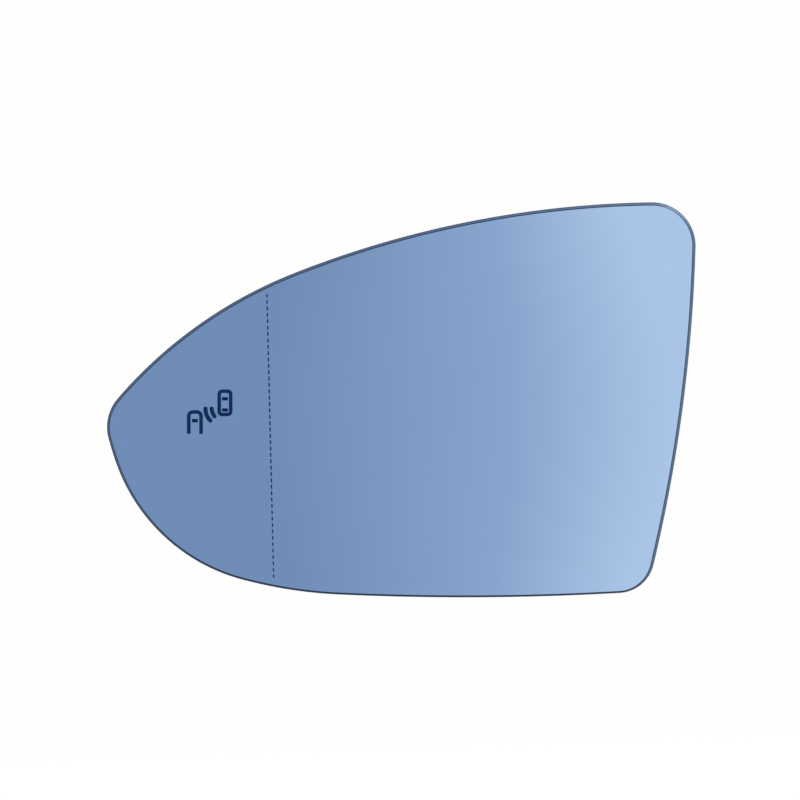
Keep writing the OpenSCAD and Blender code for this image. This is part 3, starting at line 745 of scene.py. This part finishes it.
@dataclass
class BlindSpotSymbol:
    """Two cars and two radar waves, in millimetres about the symbol's own middle.

    Attributes:
        x: place of the middle, to the left of the clip axis.
        y: place of the middle, below the clip axis.
        near_size: width and length of the near car.
        far_size: width of the far car and the length that shows of it.
        corners: radii of the near and the far car's corners.
        bars: places of the window bars, in shares of each car's length.
        bar_size: width and height of a window bar.
        pitch: distance between the cars' middles, across.
        drop: drop of the far car's nose below the near car's.
        stroke: width of the lines.
        wave_width: width of a radar wave.
        waves: centre, radius and directions of the ends of each wave, in degrees.
        proud: how far the marks stand out of the face.
        depth: how far they go into the glass.
    """

    x: float = 65.88
    y: float = 0.36
    near_size: Point2 = (4.53, 8.05)
    far_size: Point2 = (4.8, 7.1)
    corners: Point2 = (1.16, 1.5)
    bars: tuple[float, float, float] = (0.15, -0.265, -0.445)
    bar_size: Point2 = (1.75, 1.0)
    pitch: float = 9.0
    drop: float = 6.2
    stroke: float = 1.1
    wave_width: float = 1.27
    waves: tuple[tuple[Point2, float, float, float], ...] = (
        ((3.42, 0.73), 4.74, 178.0, 226.0),
        ((4.70, 1.20), 4.20, 184.0, 218.0),
    )
    proud: float = 0.012
    depth: float = 0.1

    CORNER_STEPS: ClassVar[int] = 8
    WAVE_STEPS: ClassVar[int] = 14
    END_STEPS: ClassVar[int] = 6
    MITRE: ClassVar[float] = 0.5
    BAR_INDEX: ClassVar[int] = 1

    def strip(self, work: BMesh, path: list[Vector], closed: bool, width: float,
              round_ends: bool = False) -> None:
        """Draws a flat line of even width along a path.

        Args:
            work: bmesh to draw in, at height 0.
            path: middle line.
            closed: whether the line runs back to its start.
            width: width of the line.
            round_ends: whether the ends are half discs.
        """
        ahead = path[0] if closed else path[-1] + (path[-1] - path[-2])
        behind = path[-1] if closed else path[0] - (path[1] - path[0])
        sides: list[tuple[BMVert, BMVert]] = []
        for before, place, after in zip([behind, *path[:-1]], path, [*path[1:], ahead]):
            first, second = (place - before).normalized(), (after - place).normalized()
            normal = leftward((first + second).normalized())
            reach = width / 2 / max(normal.dot(leftward(first)), self.MITRE)
            sides.append((work.verts.new((*(place + normal * reach), 0.0)),
                          work.verts.new((*(place - normal * reach), 0.0))))
        for (a, b), (c, d) in zip(sides, sides[1:] + sides[:1] if closed else sides[1:]):
            work.faces.new((b, d, c, a))
        if round_ends:
            self.end(work, path[0], path[0] - path[1], width, sides[0])
            self.end(work, path[-1], path[-1] - path[-2], width, sides[-1][::-1])

    def end(self, work: BMesh, place: Vector, way: Vector, width: float,
            corners: tuple[BMVert, BMVert]) -> None:
        """Rounds the end of a line with half a disc.

        Args:
            work: bmesh that holds the line.
            place: last point of its middle line.
            way: direction in which the line ends.
            width: width of the line.
            corners: corners of the line's end, the one on the right of its way out first.
        """
        middle = math.atan2(way.y, way.x)
        turns = [math.pi / 2 * (2 * k / self.END_STEPS - 1) for k in range(1, self.END_STEPS)]
        rim = [work.verts.new((*(place + heading(middle + turn) * width / 2), 0.0))
               for turn in turns]
        work.faces.new([corners[0], *rim, corners[1]])

    def rounded(self, centre: Vector, width: float, height: float, radius: float,
                open_foot: bool = False) -> list[Vector]:
        """Middle line of a rounded car, anticlockwise from the right foot.

        Args:
            centre: middle of the car.
            width: width of the middle line.
            height: height of the middle line.
            radius: radius of its corners.
            open_foot: whether the foot is left open, with straight sides down to it.

        Returns:
            Points of the line.
        """
        found: list[Vector] = []
        quarters = [(1, -1, -90), (1, 1, 0), (-1, 1, 90), (-1, -1, 180)]
        for sx, sy, start in quarters[1:3] if open_foot else quarters:
            middle = centre + Vector((sx * (width / 2 - radius), sy * (height / 2 - radius)))
            found += [middle + heading(math.radians(start + 90 * k / self.CORNER_STEPS)) * radius
                      for k in range(self.CORNER_STEPS + 1)]
        if open_foot:
            right, left = (centre + Vector((sx * width / 2, -height / 2)) for sx in (1, -1))
            found = [right, *found, left]
        return found

    def bar(self, work: BMesh, centre: Vector) -> None:
        """Draws a window bar.

        Args:
            work: bmesh to draw in.
            centre: its middle.
        """
        width, height = self.bar_size
        corners = [work.verts.new((centre.x + sx * width / 2, centre.y + sy * height / 2, 0.0))
                   for sx, sy in ((1, -1), (1, 1), (-1, 1), (-1, -1))]
        work.faces.new(corners).material_index = self.BAR_INDEX

    def draw(self, work: BMesh) -> None:
        """Draws the whole symbol flat, about its own middle.

        Args:
            work: bmesh to draw in.
        """
        (near_w, near_l), (far_w, far_l) = self.near_size, self.far_size
        total = self.drop + far_l
        near = Vector((self.pitch / 2, (total - near_l) / 2))
        far_top = total / 2 - self.drop
        half = self.stroke / 2
        far = Vector((-self.pitch / 2, far_top - (far_l + half) / 2))
        body = self.rounded(near, near_w - self.stroke, near_l - self.stroke,
                            self.corners[0] - half / 2)
        self.strip(work, body, True, self.stroke)
        body = self.rounded(far, far_w - self.stroke, far_l - half,
                            self.corners[1] - half / 2, True)
        self.strip(work, body, False, self.stroke)
        for share in self.bars[:2]:
            self.bar(work, Vector((near.x, near.y + share * near_l)))
        self.bar(work, Vector((far.x, far_top + self.bars[2] * far_l)))
        for centre, reach, first, last in self.waves:
            angles = [math.radians(first + (last - first) * i / self.WAVE_STEPS)
                      for i in range(self.WAVE_STEPS + 1)]
            path = [Vector(centre) + heading(angle) * reach for angle in angles]
            self.strip(work, path, False, self.wave_width, True)

    def build(self) -> Object:
        """Builds the symbol as thin inlays that follow the face, in place of the node.

        Returns:
            The piece.
        """
        work = bmesh.new()
        self.draw(work)
        bmesh.ops.translate(work, vec=(-self.x, -self.y, 0), verts=work.verts)
        bmesh.ops.recalc_face_normals(work, faces=work.faces)
        if sum(face.normal.z for face in work.faces) < 0:
            bmesh.ops.reverse_faces(work, faces=work.faces)
        grown = bmesh.ops.extrude_face_region(work, geom=work.faces[:])["geom"]
        raised = {each for each in grown if isinstance(each, BMVert)}
        for vert in work.verts:
            height = FACE.height(vert.co.x, vert.co.y)
            vert.co.z = height + (self.proud if vert in raised else -self.depth)
        bmesh.ops.recalc_face_normals(work, faces=work.faces)
        made = upright("blind_spot_marks", work, [ETCHED, ETCHED_BAR])
        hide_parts("blind_spot_symbol")
        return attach(made, BODY)


@dataclass
class NodeFinishes:
    """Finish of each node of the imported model.

    Attributes:
        frame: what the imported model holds.
    """

    frame: dict

    FINISHES: ClassVar[dict[str, Finish]] = {
        "mirror_glass": SILVERING,
        "boundary_line": ETCHED,
        "blind_spot_symbol": ETCHED,
        "heater_track": FOIL,
        "heater_film": FILM,
        "terminal_left": TINNED,
        "terminal_right": TINNED,
        "adhesive_sheet": FOAM,
        "backing_plate": PLATE,
        "indicator_diffuser": MILKY,
        "indicator_gasket": GASKET,
        "indicator_housing": HOUSING,
        "indicator_board": BOARD,
        "indicator_leds": LAMP,
        "indicator_resistors": CERAMIC,
        "indicator_pins": GOLD,
    }

    def dress(self) -> None:
        """Gives every node its finish."""
        for name, finish in self.FINISHES.items():
            materials = self.frame["nodes"][name].data.materials
            materials.clear()
            materials.append(finish.material())
            LOG.info("node %s takes finish %s", name, finish.name)


class Easing(NamedTuple):
    """How the edges of a part are eased: their width in millimetres, the slot and the finish."""

    width: float
    slot: str
    finish: Finish


@dataclass
class EasedParts:
    """Parts with the small radii that their tools leave on the edges, in millimetres and degrees.

    Attributes:
        frame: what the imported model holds.
        sharp: smallest angle of an edge that is eased.
        flat: largest angle between faces that are shaded as one.
        level: largest angle between faces that are joined into one.
        room: shortest edge at an eased one, in widths of the easing.
        open: smallest angle that an edge makes with an eased one.
        beside: smallest distance of another corner of its faces, in widths of the easing.
        module: left and right end of the indicator module.
        boss: how far the back of its boss stands in front of the clip axis.
        rib: half the width of the rib that crosses the boss.
        step: length over which that rib drops to the boss.
    """

    frame: dict
    sharp: float = 35.0
    flat: float = 20.0
    level: float = 0.6
    room: float = 2.4
    open: float = 25.0
    beside: float = 1.2
    module: Point2 = (-78.1, -53.9)
    boss: float = 5.661
    rib: float = 0.62
    step: float = 0.05

    CUT: ClassVar[float] = 0.0001
    THIN: ClassVar[float] = 0.0005
    EASINGS: ClassVar[dict[str, Easing]] = {
        "backing_plate": Easing(0.14, "plate", PLATE),
        "indicator_housing": Easing(0.15, "housing", HOUSING),
        "terminal_left": Easing(0.08, "terminal", TINNED),
        "terminal_right": Easing(0.08, "terminal", TINNED),
    }

    def has_room(self, edge: BMEdge, width: float) -> bool:
        """Whether the easing of an edge would run past none of its neighbours.

        Args:
            edge: the edge.
            width: width of the easing, in millimetres.

        Returns:
            True if each edge at its ends is long enough and turns away from it, and no other
            corner of its faces is too near beside it.
        """
        for vert in edge.verts:
            own = edge.other_vert(vert).co - vert.co
            for other in vert.link_edges:
                way = other.other_vert(vert).co - vert.co
                if way.length < self.room * width * MM:
                    return False
                if other != edge and own.angle(way) < math.radians(self.open):
                    return False
        first, last = (vert.co for vert in edge.verts)
        for vert in {v for face in edge.link_faces for v in face.verts} - set(edge.verts):
            foot, share = intersect_point_line(vert.co, first, last)
            if 0 < share < 1 and (vert.co - foot).length < self.beside * width * MM:
                return False
        return True

    def end_rib(self, work: BMesh) -> None:
        """Ends the rib that crosses the indicator's boss at the module, which it would run into.

        Args:
            work: bmesh that holds the plate.
        """
        near = [face for face in work.faces
                if all(abs(v.co.z) < self.rib * MM and v.co.x < 0 for v in face.verts)]
        cut = dict.fromkeys(each for face in near for each in (face, *face.edges, *face.verts))
        inward = tuple(zip(self.module, (self.step, -self.step)))
        for end, step in inward:
            for place in (end, end + step):
                made = bmesh.ops.bisect_plane(work, geom=list(cut), dist=self.CUT * MM,
                                              plane_co=(place * MM, 0, 0), plane_no=(1, 0, 0))
                cut.update(dict.fromkeys(made["geom"] + made["geom_cut"]))
        left, right = (end + step / 2 for end, step in inward)
        for vert in work.verts:
            if left * MM < vert.co.x < right * MM and abs(vert.co.z) < self.rib * MM:
                vert.co.y = min(vert.co.y, -self.boss * MM)
        bmesh.ops.remove_doubles(work, verts=work.verts, dist=WELD * MM)
        bmesh.ops.dissolve_degenerate(work, edges=work.edges, dist=self.THIN * MM)

    def eased(self, name: str, easing: Easing) -> Object:
        """Builds a merged copy of a node with eased edges, in its place.

        Args:
            name: name of the node.
            easing: how its edges are eased.

        Returns:
            The piece.
        """
        work = bmesh.new()
        work.from_mesh(self.frame["nodes"][name].data)
        bmesh.ops.remove_doubles(work, verts=work.verts, dist=WELD * MM)
        if name == "backing_plate":
            self.end_rib(work)
        bmesh.ops.dissolve_limit(work, angle_limit=math.radians(self.level), verts=work.verts,
                                 edges=work.edges)
        sharp = math.radians(self.sharp)
        edges = [edge for edge in work.edges if edge.is_convex
                 and edge.calc_face_angle(0.0) > sharp and self.has_room(edge, easing.width)]
        ease(work, edges, easing.width * MM)
        LOG.info("%s: %d edges eased", name, len(edges))
        for face in work.faces:
            face.smooth = True
        for edge in work.edges:
            edge.smooth = edge.calc_face_angle(0.0) < math.radians(self.flat)
        made = finished(name + "_eased", work, [easing.finish.material()])
        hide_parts(name)
        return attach(made, BODY)

    def build(self) -> list[Object]:
        """Builds every eased part."""
        return [self.eased(name, easing) for name, easing in self.EASINGS.items()]


class Ring(NamedTuple):
    """Ring of pin marks: its radius, how many marks it has, and its first angle in degrees."""

    radius: float
    count: int
    first: float


@dataclass
class PinMarks:
    """Marks of the mould's ejector pins and its gate on the back of the plate, in millimetres.

    Attributes:
        radius: radius of a pin mark.
        proud: height of a mark behind the skin.
        sunk: depth of a mark's root in the skin.
        chamfer: how much smaller a mark is at its top.
        rings: rings of marks about the clip axis.
        gate: radius and height of the gate's stub at the clip axis.
        margin: clear border of the outline.
        skin_back: depth of the skin's back behind the front face.
        keep_out: places that no mark comes near, with the distance to each.
    """

    radius: float = 2.3
    proud: float = 0.08
    sunk: float = 0.3
    chamfer: float = 0.06
    rings: tuple[Ring, ...] = (Ring(13.0, 4, 45.0), Ring(48.5, 16, 11.25), Ring(66.0, 16, 11.25))
    gate: Point2 = (1.3, 0.35)
    margin: float = 5.6
    skin_back: float = 4.9
    keep_out: tuple[tuple[float, float, float], ...] = (
        (-66.0, -0.5, 19.0), (-49.0, -30.0, 9.0), (57.0, -30.0, 9.0))

    SEGMENTS: ClassVar[int] = 28

    def mark(self, work: BMesh, place: Vector, radius: float, proud: float) -> None:
        """Adds one mark that follows the curve of the skin.

        Args:
            work: bmesh to draw in.
            place: its middle.
            radius: radius at its root.
            proud: height behind the skin.
        """
        disc = bmesh.ops.create_cone(work, cap_ends=True, segments=self.SEGMENTS, depth=1.0,
                                     radius1=radius - self.chamfer, radius2=radius)["verts"]
        for vert in disc:
            above = -proud if vert.co.z < 0 else self.sunk
            vert.co.x += place.x
            vert.co.y += place.y
            vert.co.z = FACE.height(vert.co.x, vert.co.y) - self.skin_back + above

    def build(self) -> Object:
        """Builds every mark as one piece.

        Returns:
            The piece.
        """
        work = bmesh.new()
        edge = OUTLINE.points(Widths.even(self.margin))
        for ring in self.rings:
            for k in range(ring.count):
                place = heading(math.radians(ring.first + 360 * k / ring.count)) * ring.radius
                clear = all((place - Vector((x, y))).length > gap for x, y, gap in self.keep_out)
                if clear and encloses(edge, place):
                    self.mark(work, place, self.radius, self.proud)
        self.mark(work, Vector((0.0, 0.0)), *self.gate)
        bmesh.ops.recalc_face_normals(work, faces=work.faces)
        made = upright("ejector_pin_marks", work, [PIN_MARK])
        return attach(made, BODY)


@dataclass(frozen=True)
class Backdrop:
    """What surrounds the glass: white to the camera, a studio to reflections, and soft light.

    Attributes:
        seen: colour that the camera sees.
        tones: tones of the studio from left to right.
        middle: place of the middle tone between the other two.
        ends: sideways part of the directions at which the first and the last tone start.
        widening: how much faster the tones change away from the level.
        widest: squared rise at which this stops growing.
        dim: rise at which the studio is darkest, and at which its full light starts.
        dimmest: strength at its darkest.
        soft: strength of the light on matt surfaces.
    """

    seen: Colour = (0.991, 0.991, 0.987)
    tones: tuple[Colour, Colour, Colour] = (
        (0.398, 0.478, 0.59), (0.622, 0.672, 0.77), (1.0, 1.0, 1.0))
    middle: float = 0.6
    ends: Point2 = (-0.105, 0.175)
    widening: float = 14.0
    widest: float = 0.02
    dim: Point2 = (-0.95, -0.6)
    dimmest: float = 0.1
    soft: float = 0.75

    def studio(self, tree: ShaderTree) -> NodeSocket:
        """Adds the studio that reflections show.

        Args:
            tree: tree of the world.

        Returns:
            Its shader.
        """
        place = tree.add("TexCoord").outputs["Generated"]
        split = tree.add("SeparateXYZ", {"Vector": place}).outputs
        square = tree.calculate("MULTIPLY", split["Z"], split["Z"])
        rise = tree.calculate("MINIMUM", square, self.widest)
        widen = tree.calculate("MULTIPLY_ADD", rise, self.widening, 1.0)
        across = tree.add("MapRange", {"Value": tree.calculate("MULTIPLY", split["X"], widen),
                                       "From Min": self.ends[0], "From Max": self.ends[1]})
        ramp = tree.add("ValToRGB", {"Fac": across.outputs["Result"]})
        first, middle, last = (rgba(tone) for tone in self.tones)
        elements = ramp.color_ramp.elements
        elements[0].color = first
        elements[1].color = last
        elements.new(self.middle).color = middle
        strength = tree.add("MapRange", {"Value": split["Z"], "From Min": self.dim[0],
                                         "From Max": self.dim[1], "To Min": self.dimmest})
        return tree.add("Background", {"Color": ramp.outputs["Color"],
                                       "Strength": strength.outputs["Result"]}).outputs[0]

    def build(self) -> None:
        """Makes the world."""
        world = bpy.data.worlds.new("studio")
        bpy.context.scene.world = world
        world.use_nodes = True
        world.node_tree.nodes.clear()
        tree = ShaderTree(world.node_tree)
        shown = tree.add("Background", {"Color": rgba(self.seen)}).outputs[0]
        soft = tree.add("Background", {"Color": (1, 1, 1, 1), "Strength": self.soft}).outputs[0]
        unseen = tree.switch("Is Glossy Ray", soft, self.studio(tree))
        tree.add("OutputWorld", {"Surface": tree.switch("Is Camera Ray", unseen, shown)})


@dataclass(frozen=True)
class Floor:
    """Pale plain floor, lit up to white for the camera.

    Attributes:
        drop: how far it lies below the clip axis, in metres.
        half_width: half its width, in metres.
        colour: its own colour.
        roughness: its roughness.
        glow: light that it adds for the camera.
    """

    drop: float = 0.30
    half_width: float = 3.0
    colour: Colour = (0.4, 0.4, 0.4)
    roughness: float = 0.9
    glow: Colour = (0.69, 0.69, 0.687)

    def material(self) -> Material:
        """Makes the floor's material, which reflections don't show.

        Returns:
            The material.
        """
        made = bpy.data.materials.new("pale_floor")
        made.use_nodes = True
        tree = ShaderTree(made.node_tree)
        nodes = made.node_tree.nodes
        shader = nodes["Principled BSDF"]
        for key, value in (("Base Color", rgba(self.colour)), ("Roughness", self.roughness),
                           ("Specular IOR Level", 0.0)):
            tree.feed(shader.inputs[key], value)
        glow = tree.add("Emission", {"Color": rgba(self.glow),
                                     "Strength": tree.add("LightPath").outputs["Is Camera Ray"]})
        lit = tree.add("AddShader", {0: shader.outputs["BSDF"], 1: glow.outputs["Emission"]})
        clear = tree.add("BsdfTransparent").outputs["BSDF"]
        tree.feed(nodes["Material Output"].inputs["Surface"],
                  tree.switch("Is Glossy Ray", lit.outputs["Shader"], clear))
        return made

    def build(self) -> None:
        """Makes the floor."""
        work = bmesh.new()
        bmesh.ops.create_grid(work, x_segments=1, y_segments=1, size=self.half_width)
        bmesh.ops.translate(work, vec=(0, 0, -self.drop), verts=work.verts)
        floor = finished("floor", work, [self.material()])


class Lamp(NamedTuple):
    """Soft square lamp: its name, place and side in metres, and power in watts."""

    name: str
    place: Colour
    side: float
    power: float


@dataclass
class Studio:
    """Camera, floor, backdrop and lamps.

    Attributes:
        view_width: width of the view at the glass, in metres.
        aim: point at the middle of the view, straight in front of the camera.
        lens: focal length, in millimetres.
        sensor: width of the sensor, in millimetres.
        lamps: the lamps, all aimed at the glass.
        sheen: share of the lamps that shows in reflections.
    """

    view_width: float = 0.23875
    aim: Colour = (-0.00908, -0.0140, 0.00311)
    lens: float = 200.0
    sensor: float = 36.0
    lamps: tuple[Lamp, ...] = (Lamp("key", (0.9, -0.9, 1.2), 0.8, 9.0),
                               Lamp("back_fill", (-0.8, 1.2, 0.9), 1.0, 15.0))
    sheen: float = 0.4

    def point(self, each: Object, place: Vector) -> None:
        """Stands a camera or a lamp at a place and turns it to the glass.

        Args:
            each: the camera or lamp.
            place: where it stands.
        """
        bpy.context.scene.collection.objects.link(each)
        each.location = place
        each.rotation_euler = (Vector(self.aim) - place).to_track_quat("-Z", "Y").to_euler()

    def camera(self) -> None:
        """Makes the camera, at the photograph's angle: level and straight in front."""
        data = bpy.data.cameras.new("camera")
        data.lens = self.lens
        data.sensor_width = self.sensor
        camera = bpy.data.objects.new("camera", data)
        distance = self.view_width * self.lens / self.sensor
        self.point(camera, Vector(self.aim) + Vector((0.0, -distance, 0.0)))
        bpy.context.scene.camera = camera

    def add(self, lamp: Lamp) -> None:
        """Adds a lamp.

        Args:
            lamp: what it is like.
        """
        data = bpy.data.lights.new(lamp.name, "AREA")
        data.size = lamp.side
        data.energy = lamp.power
        data.specular_factor = self.sheen
        self.point(bpy.data.objects.new(lamp.name, data), Vector(lamp.place))

    def build(self) -> None:
        """Sets up the whole studio."""
        bpy.context.scene.view_settings.view_transform = "Standard"
        self.camera()
        Backdrop().build()
        Floor().build()
        for lamp in self.lamps:
            self.add(lamp)


def corners(box: tuple[Vector, Vector]) -> list[list[float]]:
    """Lowest and highest corner as plain lists."""
    return [[round(float(value), 6) for value in corner] for corner in box]


def main() -> None:
    """Builds the pieces in order and reports each one."""
    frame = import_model()
    Studio().build()
    NodeFinishes(frame).dress()
    parts = (MirrorGlass(), BoundaryLine(), BlindSpotSymbol(), PinMarks())
    pieces = [part.build() for part in parts] + EasedParts(frame).build()
    for piece in pieces:
        LOG.info("built %s with %d faces", piece.name, len(piece.data.polygons))


if __name__ == "__main__":
    logging.basicConfig(level=logging.INFO, format="%(message)s")
    main()
